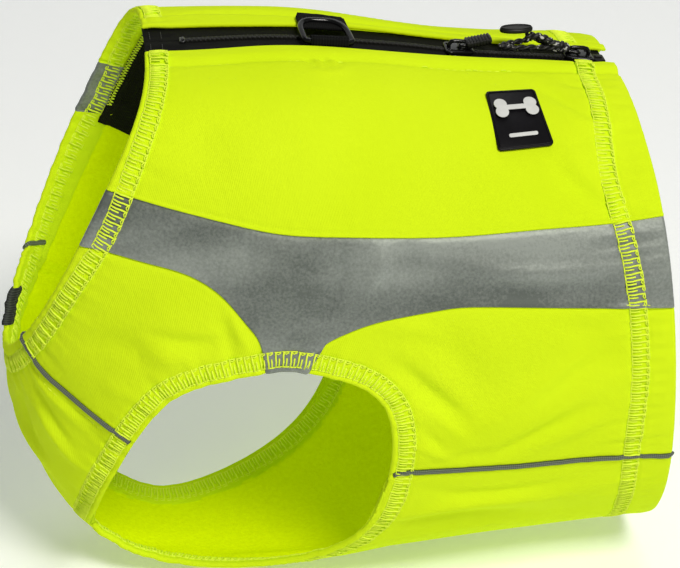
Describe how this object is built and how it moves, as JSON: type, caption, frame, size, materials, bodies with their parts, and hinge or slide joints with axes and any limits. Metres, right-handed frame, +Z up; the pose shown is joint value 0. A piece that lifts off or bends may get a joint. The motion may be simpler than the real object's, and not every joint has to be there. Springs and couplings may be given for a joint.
{
  "type": "dog fleece vest",
  "caption": "Fleece-backed softshell dog vest filled out as worn, zipped along the back, with a leash ring, grey reflective side bands and open neck, hem and leg holes.",
  "frame": {"origin": "underside of the back at its centre line, where the garment lies on the animal", "axes": "+X from the neck to the rear hem, +Y to the animal's right side, +Z up"},
  "size_m": [0.2696, 0.1691, 0.2356],
  "materials": {
    "hi_vis_softshell": "matt knit, fluorescent yellow",
    "reflective_fabric": "mottled grey with a soft sheen",
    "reflective_piping": "dark grey-green cord",
    "zip_tape": "matt black woven tape",
    "zip_chain": "satin black nylon",
    "black_metal": "gloss black",
    "black_webbing": "matt black webbing",
    "black_rubber": "satin black moulded rubber",
    "grey_tab": "dark grey woven tape"
  },
  "bodies": {
    "vest": {"back_left": "hi_vis_softshell", "back_right": "hi_vis_softshell", "band_left": "reflective_fabric", "band_right": "reflective_fabric", "belly": "hi_vis_softshell", "flank_left": "hi_vis_softshell", "flank_right": "hi_vis_softshell", "shoulder_left": "hi_vis_softshell", "shoulder_right": "hi_vis_softshell", "piping_front_left": "reflective_piping", "piping_front_right": "reflective_piping", "piping_rear_left": "reflective_piping", "piping_rear_right": "reflective_piping", "neck_facing_left": "black_webbing", "neck_facing_right": "black_webbing", "neck_tab": "grey_tab", "label": "black_rubber", "zip_tape_left": "zip_tape", "zip_tape_right": "zip_tape", "zip_chain_front": "zip_chain", "zip_chain_middle": "zip_chain", "zip_chain_rear": "zip_chain", "zip_box": "black_rubber", "slider_front": "black_metal", "slider_rear": "black_metal", "ring_loop": "black_webbing", "ring_patch": "black_webbing"},
    "leash_ring": {"ring": "black_metal"},
    "front_pull": {"pull_front": "black_rubber"},
    "rear_pull": {"pull_rear": "black_rubber"}
  },
  "joints": [
    {"name": "ring_swing", "type": "hinge", "parent": "vest", "child": "leash_ring", "pos_m": [-0.021, -0.0074, 0.00796], "axis": [0.9954, 0, -0.0958], "range_deg": [0, 105]},
    {"name": "front_pull_swing", "type": "hinge", "parent": "vest", "child": "front_pull", "pos_m": [0.03117, 0, 0.00135], "axis": [0, -1, 0], "range_deg": [0, 100]},
    {"name": "rear_pull_swing", "type": "hinge", "parent": "vest", "child": "rear_pull", "pos_m": [0.07916, 0, -0.00363], "axis": [0, 1, 0], "range_deg": [0, 100]}
  ]
}
